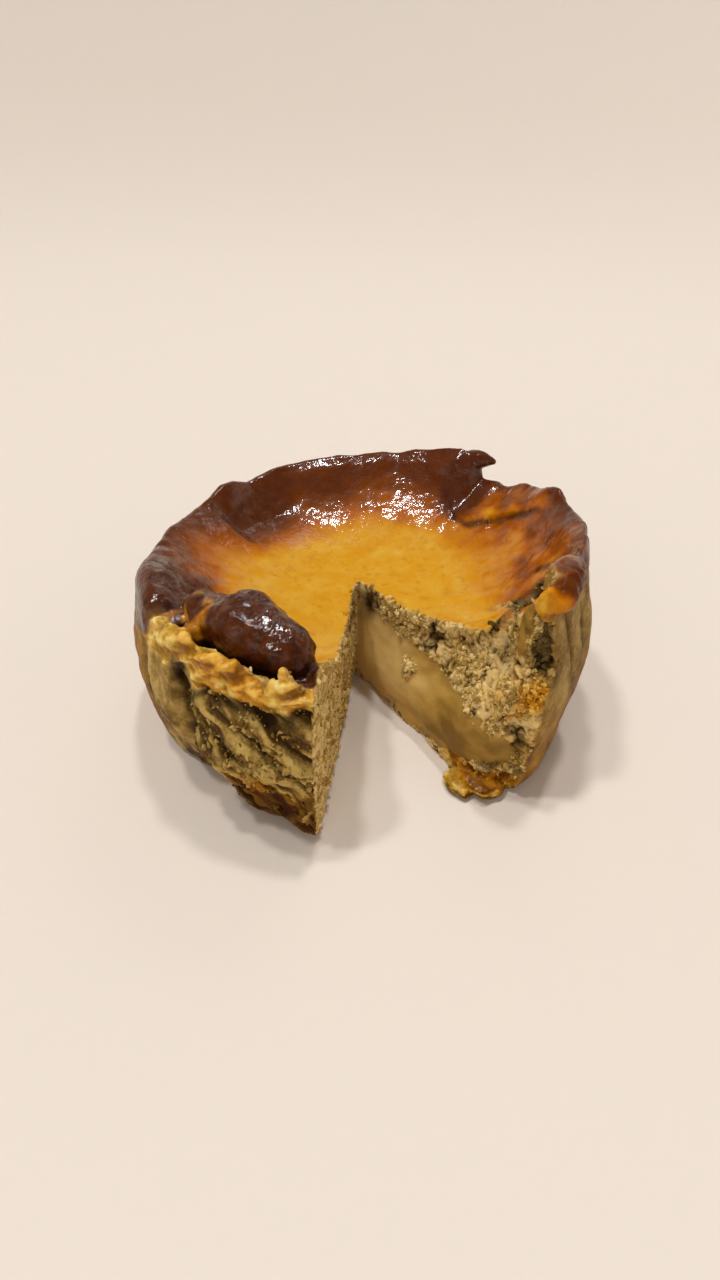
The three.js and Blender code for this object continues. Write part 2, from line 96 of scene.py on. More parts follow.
# Openings in the skin, as in the solid: the middle line of each one.
GASH = [
    place(62, 62, 65.5), place(66, 56.8, 58), place(64, 53.6, 52.5), place(58, 52.2, 49.5),
    place(50, 53, 48.5), place(43, 54.5, 48),
]
CRACK = [
    place(145, 53.6, 57), place(141.4, 52, 54.8), place(136, 48.8, 50.6), place(129.4, 49, 50),
    place(124.1, 51.7, 51.9), place(116.9, 55, 55.4), place(111.8, 57.3, 58.8), place(104, 61, 64),
]
SLIT = [place(76.2, 55.6, 57.8), place(74, 58.2, 60.6), place(72.4, 60, 62.6), place(69, 62.8, 65.8)]
GROOVE = [
    place(319.4, 73, 49), place(320.3, 71.5, 41), place(320.8, 71, 34), place(321.5, 70.5, 27),
    place(320.6, 69, 19), place(318.8, 67.5, 10),
]
# Painted shade along the openings: the path, how far from it the shade reaches and how dark it is.
DARK_LINES = ((CRACK, 2.0, 0.75), (SLIT, 2.2, 0.8), (GROOVE, 5.0, 0.85))
# Height above the crack's middle line where its upper lip runs.
CRACK_LIP = 3.2

# Places on the right face, each a distance from the axis along the face and a height: the holes in
# the crumb, painted dark with shade, the loose chunk on the soft centre, the rim's rounded end, the
# toasted outer edge, the toasted crumb and the crumb painted with shade near the foot, the burrowed
# crumb at the foot, with patches of painted shade, and the cake's middle, painted with the shade of
# a hole.
PITS = [(68, 63), (70.5, 57), (71, 51), (72.5, 47)]
CHUNK = (25.5, 21.5)
RIM_END = (71, 68.5)
OUTER_EDGE = (74, 42)
TOASTED = (67, 36)
SHADED = (67, 14)
BURROWED = (66, 16)
MIDDLE = (1, 33)
# Upper and lower edge of the smooth soft centre there.
CREAM_TOP = [(0, 31), (14, 31), (26, 29), (31, 27), (37, 26), (53, 25), (66, 23), (72, 17)]
CREAM_FOOT = [(0, 1), (17, 0.5), (30, 1.5), (46, 5), (60, 9), (72, 12)]

# The roll of skin at the left, seen from above, and the reach of its round section.
ROLL = [at(301, 57.5), at(310, 57.6), at(320, 57), at(331, 57), at(341, 58.2), at(350, 60.6)]
ROLL_REACH = 11.5
# The torn side: bearings of its ends and of its groove, the height where its ribbon of skin
# starts, and the height of one layer.
TORN_FROM = 301
TORN_TO = 353.5
GROOVE_AT = 320
RIBBON_FOOT = 48.2
LAYER = 8.2


# ---- Small functions ----


def linear(code):
    """A colour written as sRGB hex, as the linear RGBA that a shader wants."""
    parts = [int(code[i : i + 2], 16) / 255 for i in (1, 3, 5)]
    return tuple(c / 12.92 if c <= 0.04045 else ((c + 0.055) / 1.055) ** 2.4 for c in parts) + (1.0,)


def step(low, high, x):
    """0 below low, 1 above high and smooth between them. It falls where low is the higher one."""
    t = np.clip((np.asarray(x, float) - low) / (high - low), 0, 1)
    return t * t * (3 - 2 * t)


def bump(x, centre, width):
    """1 at the centre, falling to 0 one width away."""
    t = np.clip(np.abs(np.asarray(x, float) - centre) / width, 0, 1)
    return (1 - t * t) ** 2


def along(table, x):
    keys, values = zip(*table)
    return np.interp(x, keys, values)


def lattice(i, j, k, seed):
    """A repeatable random number from 0 to 1 for each corner of a grid, by an integer hash."""
    h = i.astype(np.uint32) * np.uint32(374761393)
    h = h + j.astype(np.uint32) * np.uint32(668265263)
    h = h + k.astype(np.uint32) * np.uint32(974634777) + np.uint32(seed * 2654435 + SEED)
    h = (h ^ (h >> np.uint32(13))) * np.uint32(1274126177)
    h = (h ^ (h >> np.uint32(15))) * np.uint32(2246822519)
    return (h ^ (h >> np.uint32(16))).astype(np.float64) / 4294967295.0


# A turn that keeps the grid behind the noise out of line with the axes.
TURN = np.array(Matrix.Rotation(0.9, 3, (0.36, 0.48, 0.8)))
# Strength of each finer noise beside the one before, and a shift between them.
FADE = 0.55
SHIFT = 17.3


def noise(p, size, seed=0):
    """Smooth noise from -1 to 1 over cells of that size in millimetres."""
    q = p @ TURN / size
    cell = np.floor(q).astype(np.int64)
    t = q - cell
    t = t * t * t * (t * (t * 6 - 15) + 10)
    total = np.zeros(len(p))
    for corner in range(8):
        a, b, c = corner & 1, corner >> 1 & 1, corner >> 2 & 1
        weight = (t[:, 0] if a else 1 - t[:, 0]) * (t[:, 1] if b else 1 - t[:, 1])
        weight = weight * (t[:, 2] if c else 1 - t[:, 2])
        total += weight * lattice(cell[:, 0] + a, cell[:, 1] + b, cell[:, 2] + c, seed)
    return total * 2 - 1


def rough(p, size, octaves=3, seed=0):
    """Noise of several sizes, each half the one before."""
    total, weight, weights = np.zeros(len(p)), 1.0, 0.0
    for octave in range(octaves):
        total += weight * noise(p + SHIFT * octave, size / 2**octave, seed + octave)
        weights += weight
        weight *= FADE
    return total / weights


def pushed(p, far, size, seed):
    """The points, each pushed about by up to that far, over cells of that size."""
    return p + far * np.stack([noise(p, size, seed + axis) for axis in range(3)], 1)


def lumps(p, size, seed=0):
    """Rounded clumps with sharp gaps between them: 1 on a clump's middle, 0 in a gap."""
    q = p @ TURN / size
    cell = np.floor(q).astype(np.int64)
    nearest = np.full(len(p), 9.0)
    for n in range(27):
        i, j, k = cell[:, 0] + n % 3 - 1, cell[:, 1] + n // 3 % 3 - 1, cell[:, 2] + n // 9 - 1
        far = (i + lattice(i, j, k, seed) - q[:, 0]) ** 2
        far += (j + lattice(i, j, k, seed + 1) - q[:, 1]) ** 2
        far += (k + lattice(i, j, k, seed + 2) - q[:, 2]) ** 2
        nearest = np.minimum(nearest, far)
    return np.clip(1 - nearest, 0, 1)


def polyline(x, y, points):
    """Distance from each place to a line through the points, and the share of its length there."""
    best, share = np.full(len(x), 1e9), np.zeros(len(x))
    for n, ((ax, ay), (bx, by)) in enumerate(zip(points, points[1:])):
        dx, dy = bx - ax, by - ay
        t = np.clip(((x - ax) * dx + (y - ay) * dy) / (dx * dx + dy * dy), 0, 1)
        far = np.hypot(x - ax - t * dx, y - ay - t * dy)
        share = np.where(far < best, (n + t) / (len(points) - 1), share)
        best = np.minimum(best, far)
    return best, share


def path_distance(p, points):
    """Distance from each place to a line through points in space."""
    best = np.full(len(p), 1e9)
    for a, b in zip(np.array(points), np.array(points[1:])):
        t = np.clip((p - a) @ (b - a) / ((b - a) @ (b - a)), 0, 1)
        best = np.minimum(best, np.linalg.norm(p - a - t[:, None] * (b - a), axis=1))
    return best


# ---- Meshes ----


def vectors(collection, field):
    out = np.empty(len(collection) * 3, np.float32)
    collection.foreach_get(field, out)
    return out.reshape(-1, 3).astype(float)


def move(mesh, points):
    mesh.vertices.foreach_set("co", points.astype(np.float32).ravel())
    mesh.update()


def link(data, name):
    obj = bpy.data.objects.new(name, data)
    bpy.context.scene.collection.objects.link(obj)
    return obj


def modify(obj, kind, **settings):
    """Adds a modifier with its settings."""
    modifier = obj.modifiers.new(kind.lower(), kind)
    for name, value in settings.items():
        setattr(modifier, name, value)
    return modifier


def applied(obj):
    """Turns an object's modifiers into a plain mesh."""
    graph = bpy.context.evaluated_depsgraph_get()
    mesh = bpy.data.meshes.new_from_object(obj.evaluated_get(graph))
    obj.modifiers.clear()
    old = obj.data
    obj.data = mesh
    bpy.data.meshes.remove(old)
    return mesh


# ---- Where things are on the cake ----


class Places:
    """Masks from 0 to 1 over a mesh of the cake, from its points and normals, in millimetres.

    p and n are the points and their normals, r and b a point's distance from the axis and its
    bearing, and s its distance from the axis along the right face. The functions below call it w.
    """

    def __init__(self, mesh):
        self.p = vectors(mesh.vertices, "co") / MM
        self.n = vectors(mesh.vertex_normals, "vector")
        self.x, self.y, self.z = self.p.T
        self.r = np.hypot(self.x, self.y)
        self.b = np.degrees(np.arctan2(self.x, -self.y)) % 360
        self.outward = (self.n[:, 0] * self.x + self.n[:, 1] * self.y) / np.maximum(self.r, 1)
        self.skin_height = along(SKIN_OVER_CUT, self.r)
        self.fray = noise(self.p, 3.2, 64)
        self.find_cuts()
        self.find_skin()
        self.find_layers()

    def spot(self, where, width, squash=1.0):
        """1 at a place on the right face, falling to 0 one width away."""
        distance, height = where
        return bump(np.hypot(self.s - distance, (self.z - height) * squash), 0, width)

    def find_cuts(self):
        """The base, the two cut faces, and the roll and the rim's rounded end beside them."""
        n, b, r, z = self.n, self.b, self.r, self.z
        a, c = math.radians(CUT_RIGHT), math.radians(CUT_LEFT)
        self.s = self.x * math.sin(a) - self.y * math.cos(a)
        behind_right = self.x * math.cos(a) + self.y * math.sin(a)
        before_left = self.x * math.cos(c) + self.y * math.sin(c)
        facing_right = -n[:, 0] * math.cos(a) - n[:, 1] * math.sin(a)
        facing_left = n[:, 0] * math.cos(c) + n[:, 1] * math.sin(c)
        near_right = ((b > 16) & (b < 68)) | (r < 8)
        near_left = (b > 334) | (b < 8) | (r < 8)
        self.base = step(0.2, 0.6, -n[:, 2]) * (1 - step(3, 6, z))
        self.nose = step(0.15, 0.5, self.spot(RIM_END, 9, 0.85))
        self.amber_end = self.nose * step(50, 44.5, b + 3 * noise(self.p, 4, 67))

        self.roll_far, self.roll_share = polyline(self.x, self.y, ROLL)
        self.roll = step(ROLL_REACH, 9.8, self.roll_far) * (r < 71)
        self.roll *= step(44, 46, z - 0.25 * self.roll_far)
        self.left = step(0.3, 0.55, facing_left) * near_left * (1 - self.base)
        self.left *= 1 - self.roll * step(-0.6, -1.8, before_left)
        self.roll *= 1 - self.left

        self.gash_far = path_distance(self.p, GASH)
        self.opened = step(5.4, 4.2, self.gash_far)
        self.right = step(0.3, 0.55, facing_right) * near_right * (1 - self.base)
        self.right *= (1 - step(76, 78.5, self.s)) * (1 - self.nose)
        self.right = np.maximum(self.right, self.opened * step(66, 60, r))
        # Crumb that broke away under the skin, behind the plane of the face.
        broken = step(15, 12, behind_right) * step(-0.4, -0.1, facing_right)
        broken *= step(-1, -4, z - self.skin_height) * step(40, 45, z)
        broken *= step(48, 51, self.s) * step(75, 73, self.s)
        broken *= step(0.75, 0.5, self.outward) * (b > 36) * (b < 66)
        self.right = np.maximum(self.right, broken * (1 - self.base))
        self.cut = np.clip(self.right + self.left, 0, 1)
        self.cream = self.creamy()
        # The flake of skin at the foot of the right face.
        self.foot = step(9, 6, z) * step(46, 52, self.s)
        self.foot *= np.maximum(self.right, (b > 20) * (b < 43))

    def creamy(self):
        """1 where the right face is the smooth soft centre, 0 in the crumb round it."""
        edge = 1.8 * noise(self.p, 9, 41) + 1.4 * noise(self.p, 3.6, 42)
        share = step(-0.5, 0.9, along(CREAM_TOP, self.s) + edge - self.z)
        share *= step(-0.5, 0.9, self.z - along(CREAM_FOOT, self.s) + edge)
        strip = bump(self.s, 64, 4.2) * step(47, 52, self.z) * step(76, 71, self.z)
        share = share * step(73, 68, self.s + edge) + 1.2 * strip
        return np.clip(share - 1.6 * self.spot(CHUNK, 4), 0, 1) * self.right

    def find_skin(self):
        """The skin of the top, the smooth wall, and the torn side with its ribbon of skin."""
        b, r, z = self.b, self.r, self.z
        below_rim = step(2, 13, along(RIM, b) - z + 3 * rough(self.p, 9, 3, 50))
        side = step(0.3, 0.65, self.outward) * step(62, 67, r) * below_rim
        self.lobe = step(281, 287, b + 4 * noise(self.p, 9, 63)) * step(309, 305, b) * step(45, 49, z)
        side *= 1 - self.lobe
        torn_from = TORN_FROM + 6 * step(46, 52, z) - 1.5 * noise(self.p, 4, 52)
        self.torn = step(-3, 2, b - torn_from) * (b < TORN_TO)
        low = RIBBON_FOOT + 1.6 * noise(self.p, 4, 51) + 1.2 * noise(self.p, 9, 53)
        ribbon = self.torn * step(62, 65, r) * step(-0.7, 0.7, z - low)
        self.under_ribbon = bump(z, low - 2.2, 3.4)
        self.ribbon = ribbon * (1 - self.cut) * (1 - self.roll)
        self.side = np.clip(side + self.torn * step(64, 69, r), 0, 1)
        self.side *= (1 - self.cut) * (1 - self.base) * (1 - self.roll)
        self.side *= 1 - self.lobe * (1 - self.ribbon)
        self.top = np.clip(1 - self.side - self.cut - self.base, 0, 1)
        self.torn_wall = self.side * self.torn * (1 - self.ribbon)
        self.smooth_wall = self.side * (1 - self.torn)
        self.clean = step(25, 45, z) * step(80, 60, b)
        self.slope = step(44, 54, r) * step(50, 64, b) * step(136, 128, b)

    def find_layers(self):
        """The pleats of the smooth wall, and the layers right of the groove in the torn one."""
        b, r, z = self.b, self.r, self.z
        pleat = noise(np.stack([1.3 * b, 0.14 * z, 0 * b], 1), 15, 54)
        self.pleat = self.smooth_wall * pleat
        self.crease = self.smooth_wall * step(0.14, 0.0, np.abs(pleat)) * step(0, 8, z)
        # The layers run down to the right.
        run = 0.79 * z + 0.75 * (b - GROOVE_AT) + 3.4 * noise(self.p, 15, 5) + 1.3 * noise(self.p, 5, 4)
        down = 0.95 * (b - GROOVE_AT) - 0.62 * z
        self.layer = (run / LAYER) % 1
        self.fibre = rough(np.stack([0.35 * down, run, 0.6 * r], 1), 3.4, 4, 11)
        self.strand = rough(np.stack([0.16 * down, run, 0.4 * r], 1), 1.5, 3, 12)
        self.ledges = self.torn_wall * step(GROOVE_AT, GROOVE_AT + 4, b)
        skirt_top = 13 - 4 * noise(self.p, 7, 69) + 0.3 * (b - 335)
        self.skirt = self.ledges * step(6, 0, z - skirt_top)


# ---- The relief ----
# A number beside a mask is a height in millimetres.


def ribbon_fold(w):
    """Where each point lies across the ribbon's folds: 0 on a crest, to -1 and 1 in hollows."""
    return noise(np.stack([w.z * 1.1 - 0.6 * w.b, w.b * 0.3, w.r * 0.3], 1), 4.2, 9)


def broad_relief(w):
    """Forms of a few millimetres that the solid holds only roughly."""
    # Torn side: layers with ragged lips right of the groove, and a smoother skin left of it.
    ledge = step(0, 0.7, w.layer) * step(1, 0.88, w.layer)
    d = w.ledges * (1.9 * (ledge - 0.5) * (0.8 + 0.7 * noise(w.p, 12, 15)) + 1.2 * w.fibre)
    d += w.ledges * (0.5 * rough(w.p, 3.4, 3, 6) - 1.3 * w.under_ribbon)
    bare = 0.8 * rough(w.p * [1, 1, 0.4], 7, 2, 7) + 0.35 * rough(w.p, 2.6, 2, 12)
    d += (w.torn_wall - w.ledges) * bare
    # The ribbon of torn skin has slanting folds.
    d += w.ribbon * (1.7 * (0.45 - np.abs(ribbon_fold(w))) + 0.7 * rough(w.p, 5, 2, 10))
    # The rest of the wall is smooth skin with soft upright folds.
    d += 0.8 * w.pleat - 0.7 * w.crease + 0.3 * w.smooth_wall * rough(w.p, 12, 2, 8)
    # Long low swells of the browned slope, and the lumps of the roll and of the rim's end.
    d += w.top * (1 - w.roll) * step(26, 40, w.r) * 0.22 * noise(w.p, 8, 13)
    d += w.roll * 0.8 * noise(w.p, 8, 14) + w.nose * rough(w.p, 6, 4, 16)
    # Wrinkles of the right slope, the sunken gash, the loose chunk and the dark holes.
    d += w.top * w.slope * 0.8 * rough(w.p * [1, 1, 0.6], 8, 3, 80) - 1.4 * w.opened
    d += w.right * 1.6 * w.spot(CHUNK, 4)
    far, _ = polyline(w.s, w.z, PITS)
    return d - 1.8 * w.right * step(4.5, 1.5, far)


def crumb_relief(w, tone):
    """Crumb on the cut faces, and a little on the torn layers: clumps of 3.4, 1.8 and 0.9 mm with
    gaps between them, flatter on the left face. Gives the relief and how deep in a gap each point
    lies, which the material paints as shade, and writes the crumb's tone: paler on the clumps as a
    painted highlight, with blotches at random."""
    d = np.zeros(len(w.p))
    gap = np.zeros(len(w.p))
    crumb = w.cut * (1 - w.cream) * (1 - w.opened) * (1 - 0.85 * w.foot)
    crumb = np.clip(crumb + 0.25 * w.ledges, 0, 1)
    some = crumb > 0.01
    crumb, p, on_left = crumb[some], w.p[some], w.left[some] > 0.5
    q = p * np.where(on_left[:, None], [0.8, 0.6, 1.5], [1.0, 1.0, 1.0])
    q = pushed(pushed(q, 1.5, 2.4, 20), 0.6, 1.1, 17)
    large, small = lumps(q, 3.4, 23), lumps(q, 1.8, 26)
    soft = 0.5 + 0.5 * rough(q, 2.8, 3, 85)
    clumps = 0.3 * large + 0.28 * small + 0.2 * lumps(q, 0.9, 29) + 0.22 * soft
    height = np.where(on_left, 0.9, 4.0) * (0.8 + 0.5 * noise(p, 9, 32))
    d[some] = crumb * height * (clumps - 0.6)
    # Painted shade in the hollows between clumps, weaker on the left face.
    hollows = 0.38 * large + 0.27 * small + 0.35 * (0.5 + 0.7 * rough(q, 4.5, 2, 86))
    gap[some] = crumb * (1 - step(0.34, 0.78, hollows)) * np.where(on_left, 0.3, 1)
    # Paler on the clumps, a painted highlight, and in random blotches.
    tone[some] = 0.34 + 0.6 * step(0.35, 0.85, clumps) + 0.35 * noise(p, 12, 24)
    return d, gap


def fine_relief(w):
    """Crumb, wrinkles and grain. Gives the relief, how deep in a gap or a dip each point lies, which
    the material paints as shade, and how pale it is, which holds painted light and shade in places."""
    wall = w.smooth_wall
    # Blotches of tone, and on the wall painted shade in its creases.
    tone = 0.5 + (0.3 - 0.15 * wall) * rough(w.p, 9, 3, 46) - 0.1 * wall - 0.2 * w.crease
    tone += wall * (0.15 * w.clean + 0.2 * noise(w.p * [1, 1, 0.25], 4, 88))
    d, gap = crumb_relief(w, tone)
    # The crumb is darker close under the skin, and at the foot it is painted with shade.
    tone -= 0.05 * w.right * step(-9, -3, w.z - w.skin_height) * (w.s < 50)
    tone -= 0.6 * w.right * w.spot(SHADED, 15)

    # The soft centre keeps long shallow drag marks of the knife, and is paler near the middle.
    drag = noise(w.p * [0.5, 0.5, 1.0] + [0, 0, 0.25] * w.p[:, :1], 6, 33)
    d += w.cream * (0.4 * drag + 0.14 * noise(w.p, 2.4, 34))
    fade = 0.88 - 0.65 * step(5, 50, w.s) + 0.35 * rough(w.p * [0.5, 0.5, 1.2], 8, 3, 47)
    fade = np.where(w.s > 58, np.minimum(fade, 0.45), fade)
    tone = np.where(w.cream > 0.5, fade, tone)

    # Skin of the top: a faint grain, and shallow dimples of 3.2 and 1.7 mm on the browned slope.
    d += w.top * step(10, 30, w.r) * 0.03 * rough(w.p, 3, 2, 35)
    d += w.top * step(32, 46, w.r) * (0.13 * noise(w.p, 3.2, 36) + 0.06 * noise(w.p, 1.7, 35))
    # The burnt roll is wrinkled round its length and grained all over.
    bent = np.stack([w.roll_share * 46, w.roll_far * 0.5, w.z * 0.6], 1)
    d += w.roll * (0.35 * noise(bent, 2.6, 37) + 0.5 * rough(w.p, 3.0, 3, 38))
    d += w.nose * 0.5 * rough(w.p, 2, 3, 39)
    # Crinkles of the ribbon, pale on the crests of its folds as a painted highlight and dark in the
    # hollows as painted shade.
    crinkle = rough(w.p * [1, 1, 1.5], 2.2, 3, 40)
    d += w.ribbon * 0.7 * crinkle
    fold = np.abs(ribbon_fold(w))
    fold_light_and_crinkle = 0.5 + 0.6 * crinkle + 0.25 * step(0.25, 0.0, fold) - 0.3 * step(0.35, 0.65, fold)
    tone = np.where(w.ribbon > 0.5, fold_light_and_crinkle, tone)

    # Layers of the torn side: pale at a lip, painted as lit, and dark just below the next one, painted
    # shade.
    d += 0.7 * w.ledges * w.strand
    strata_and_lip_light = 0.41 + 0.5 * w.fibre + 0.8 * w.strand
    strata_and_lip_light += 0.5 * bump(w.layer, 0.8, 0.16) - 0.3 * bump(w.layer, 0.1, 0.2)
    tone = np.where(w.ledges > 0.5, strata_and_lip_light, tone)
    tone += 0.5 * (w.torn_wall - w.ledges) * (0.15 + rough(w.p * [1, 1, 0.6], 4, 3, 83))
    # Painted shade under each lip, between the fibres and under the ribbon.
    recess_shade = np.maximum(0.45 * bump(w.layer, 0.08, 0.2), 0.3 * step(-0.15, -0.5, w.fibre))
    recess_shade = w.ledges * np.maximum(recess_shade, 0.8 * w.under_ribbon)
    # The flake at the foot is a stack of thin leaves.
    leaf = ((w.z + 0.8 * noise(w.p * [1, 1, 0.3], 5, 79)) / 1.7) % 1
    d += w.foot * (1.1 * (leaf - 0.5) - 0.5 + 0.5 * rough(w.p * [1, 1, 2], 2.2, 2, 89))
    tone += w.foot * (0.45 * step(54, 49, w.s) - 0.3 * step(3.4, 4.6, w.z) * step(47, 50, w.s))
    # Painted shade between the leaves of the flake.
    recess_shade = np.maximum(recess_shade, 0.3 * w.foot * bump(leaf, 0.05, 0.2))
    # Smooth wall: wrinkles of the paper, and pores.
    d += wall * 0.1 * rough(w.p, 4, 2, 44)
    d -= wall * 0.15 * step(0.72, 0.9, lumps(w.p, 3.8, 45))
    return d * (1 - w.base), np.maximum(gap, recess_shade), tone


# ---- Masks for the materials ----


def browning(w):
    """How brown the skin is, from 0.1 in the middle of the top to 1 on the rim's crest."""
    wander = 2.6 * noise(w.p, 14, 60) + 1.6 * noise(w.p, 5, 61)
    start, end = along(BROWN_FROM, w.b), along(BROWN_TO, w.b)
    brown = np.clip((w.r + wander - start) / (end - start), 0, 1) * 0.85
    brown += 0.15 * step(62, 68, w.r)
    # The rim's end over the gash is amber, and brown on its right.
    brown *= 1 - 0.95 * w.amber_end
    brown += 0.2 * w.nose * rough(w.p, 4, 2, 75)
    brown = np.where(w.side > 0.3, 0.62 + 0.2 * step(30, 5, w.z), brown)
    # Over the crack the skin is dark at its left end and has a pale lip along the rest.
    over = path_distance(w.p, [(x, y, z + CRACK_LIP) for x, y, z in CRACK])
    brown -= 0.22 * step(4.2, 1.2, over + w.fray) * step(134, 126, w.b) * (w.b > 90)
    brown += 0.35 * step(11, 6, np.hypot(w.b - 139, w.r - 57)) * w.top
    brown += w.slope * 0.35 * rough(w.p, 6, 3, 78)
    return 0.1 + 0.9 * brown


def torn_roll(w):
    """The orange places where the roll's skin is torn, at its left end and along its inner edge,
    and the toasted flaps of skin outside its left end."""
    orange = step(0.3, 0.26, w.roll_share + 0.09 * w.fray) * step(57, 58.2, w.r + 1.5 * w.fray)
    orange *= step(308.5, 310, w.b + 2 * w.fray) * 0.8 * step(-0.1, 0.25, noise(w.p, 5, 72))
    inner = step(0.36, 0.44, w.roll_share) * step(0.72, 0.62, w.roll_share)
    orange += inner * step(51, 49, w.r + w.fray)
    flaps = step(306.8, 308.2, w.b + 1.2 * w.fray) * step(322, 319, w.b + 2 * w.fray)
    flaps *= step(59, 61, w.r + w.fray) * step(49, 51, w.z) * (1 - w.ribbon)
    flaps *= 0.85 * step(-0.45, 0.05, noise(w.p, 5, 71))
    return np.clip(orange, 0, 1) * w.roll, flaps


def burning(w):
    """Burnt skin: the roll and most of the lobe left of it. The sunken corner at the back left, up to
    its sharp left side, gets it by half, as painted shade in the dip."""
    # Painted shade in the sunken corner at the back left.
    hollow_shade = step(205, 222, w.b) * step(247, 243, w.b + 1.5 * noise(w.p, 5, 62)) * bump(w.r, 57, 15)
    return w.roll + w.top * (0.85 * w.lobe * step(47, 51, w.r) + 0.5 * hollow_shade)


def toasting(w):
    """Toasted skin and edges: the wall and the torn side in streaks and patches, the flake at the
    foot, and the crumb near the outer edge."""
    flake = w.foot * step(3.4, 4.6, w.z + w.fray) * step(47, 50, w.s)
    flake = np.maximum(0.85 * flake, 0.5 * w.foot * step(57, 61, w.s + 2 * w.fray))
    middle = 0.75 * step(315, 322, w.b + 4 * w.fray) * step(343, 341, w.b)
    middle *= step(-0.5, 0.2, noise(w.p, 6, 77))
    ends = step(50, 47, w.z + 2 * w.fray)
    ends += step(341, 344, w.b) * step(-0.4, 0.3, noise(w.p, 3, 87))
    patches = bump(w.b, 340, 14) * bump(w.z, 16, 9) * step(-0.2, 0.2, w.fray)
    edge = 0.6 * w.spot(TOASTED, 15) * step(-0.2, 0.5, w.fray) + 0.9 * w.spot(OUTER_EDGE, 8)
    streaks = 0.18 + 0.3 * w.pleat + 0.25 * rough(w.p * [1, 1, 0.4], 6, 4, 73)
    streaks += 0.25 * step(14, 3, w.z) - 0.3 * w.clean
    toast = w.right * edge + w.smooth_wall * np.clip(streaks, 0, 1) + flake
    toast += w.ribbon * (0.6 * ends + middle) + 0.7 * w.ledges * patches + 0.6 * w.skirt
    return toast + 0.45 * w.amber_end * step(-0.2, 0.5, noise(w.p, 4, 82))


def darkness(w):
    """Shade in holes, in the openings of the skin and along the roll's outer edge."""
    far, _ = polyline(w.s, w.z, PITS)
    pits = w.right * step(4, 1.8, far + 2.4 * noise(w.p, 3, 68))
    burrows = w.right * w.spot(BURROWED, 15) * step(0.0, 0.4, noise(w.p, 3.4, 84)) * (1 - w.cream)
    middle = w.cut * w.spot(MIDDLE, 6, 0.6)
    dark = np.clip(0.8 * pits + 0.8 * burrows + middle + 0.92 * w.opened + 0.75 * w.skirt, 0, 1)
    dark = np.maximum(dark, 0.7 * w.foot * step(3.2, 2.0, w.z + 0.5 * w.fray) * step(55, 58, w.s))
    for path, reach, much in DARK_LINES:
        near = path_distance(w.p, path) + 0.5 * w.fray
        dark = np.maximum(dark, much * step(reach, reach * 0.4, near))
    # Painted shade where the roll's outer edge meets the ribbon.
    roll_edge_shade = bump(w.roll_far, 10.4, 2.0) * step(55, 53, w.z) * (w.r > 61) * (w.r < 68.5)
    dark = np.maximum(dark, 0.85 * roll_edge_shade * step(306, 309, w.b) * step(349, 346, w.b))
    return np.maximum(dark, 0.4 * w.right * step(8.5, 5.5, w.gash_far + w.fray))


def strewing(w, dark):
    """Where loose crumbs lie: on crumb but not in its dark holes, along the skin's edge over the
    cut faces, on the loose chunk, and a few on the torn layers."""
    edge = w.cut * bump(w.n[:, 2], 0.55, 0.4) * step(-4, -1.5, w.z - w.skin_height) * (w.r < 58)
    crumbs = w.right * (1 - w.cream) * step(-0.45, 0.5, noise(w.p, 6, 66)) * (1 - 0.9 * dark)
    crumbs = crumbs * (w.opened < 0.02) + 0.1 * w.left + 0.5 * edge + w.spot(CHUNK, 3.4) * w.right
    crumbs *= 1 - 0.95 * w.foot
    crumbs += 0.18 * w.ledges * step(-0.5, 0.4, noise(w.p, 5, 74)) * (1 - 0.8 * w.skirt)
    return crumbs * step(2.2, 3.6, w.z)


def wetness(w):
    """Wet, sugary skin of the browned slope and the roll, less of it on the rim's outer side and
    its rounded end, and a little on the ribbon."""
    wet = w.top * step(22, 40, w.r + 4 * noise(w.p, 9, 70))
    return wet * (1 - 0.6 * w.nose) * (1 - 0.6 * step(0.1, 0.5, w.outward)) + 0.35 * w.ribbon


def masks(w):
    """Masks for the materials and for the crumbs to strew, by name."""
    orange, flaps = torn_roll(w)
    dark = darkness(w)
    return {
        "browning": browning(w),
        "burnt": burning(w) - orange - flaps,
        "cut": w.cut * (1 - w.foot),
        "cream": w.cream,
        "side": np.maximum(w.side, w.foot),
        "ribbon": np.maximum(w.ribbon, w.foot),
        "toast": toasting(w) + orange + flaps,
        "dark": dark,
        "crumbs": strewing(w, dark),
        "gloss": wetness(w),
    }


# ---- Materials ----


def in_use(sockets, key):
    """The socket of that name or number, among those that the node's settings leave in use."""
    used = [socket for socket in sockets if socket.enabled]
    return used[key] if isinstance(key, int) else next(s for s in used if s.name == key)


def connect(node, links):
    """Gives each input that is named or numbered a value, another node's output, or the first
    output of a node."""
    for key, value in links.items():
        socket = in_use(node.inputs, key)
        if isinstance(value, Node):
            value = in_use(value.outputs, 0)
        if isinstance(value, NodeSocket):
            node.id_data.links.new(value, socket)
        else:
            socket.default_value = value


def grey(value):
    return (value, value, value, 1.0)


def add(tree, kind, links=None, stops=(), **settings):
    """Adds a node with its settings, its links and, for a colour ramp, its stops, each a place
    and a colour or a shade of grey."""
    node = tree.nodes.new(kind)
    for name, value in settings.items():
        setattr(node, name, value)
    connect(node, links or {})
    if stops:
        elements = node.color_ramp.elements
        while len(elements) < len(stops):
            elements.new(0.5)
        for element, (position, shade) in zip(elements, stops):
            element.position = position
            element.color = grey(shade) if isinstance(shade, float) else shade
    return node


def grain(tree, size_mm, detail=3.0, roughness=0.55, upright=1.0):
    """Noise whose blotches are that many millimetres across, and that much flatter in height."""
    spots = add(tree, "ShaderNodeTexCoord").outputs["Object"]
    if upright != 1.0:
        spots = add(tree, "ShaderNodeMapping", {"Vector": spots, "Scale": (1, 1, upright)})
    links = {"Vector": spots, "Scale": 1 / (size_mm * MM), "Detail": detail, "Roughness": roughness}
    return add(tree, "ShaderNodeTexNoise", links)


